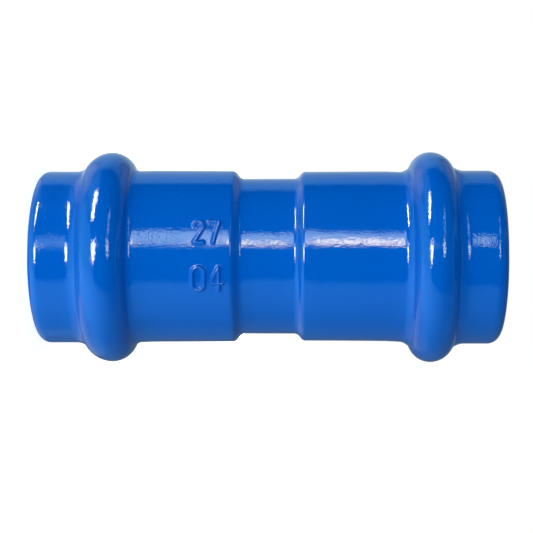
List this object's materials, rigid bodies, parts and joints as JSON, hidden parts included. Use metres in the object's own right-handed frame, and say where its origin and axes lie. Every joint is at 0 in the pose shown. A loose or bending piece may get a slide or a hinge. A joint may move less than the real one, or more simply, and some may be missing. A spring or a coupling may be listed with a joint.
{
  "type": "double socket collar",
  "caption": "Straight cast-iron coupling with a gasketed push-in socket at each end and a narrower neck with pipe stops between them, coated in glossy blue epoxy.",
  "frame": {"origin": "middle of the neck, on the pipe axis, halfway between the two mouths", "axes": "+Z along the pipe axis, out of the upper mouth; the collar stands on its lower mouth, and is round, so +X and +Y are any pair across it"},
  "size_m": [0.0946, 0.0946, 0.207],
  "materials": {
    "coated_casting": "gloss",
    "seal_rubber": "satin"
  },
  "bodies": {
    "root": {"collar_casting": "coated_casting", "upper_gasket": "seal_rubber", "lower_gasket": "seal_rubber"}
  },
  "joints": []
}
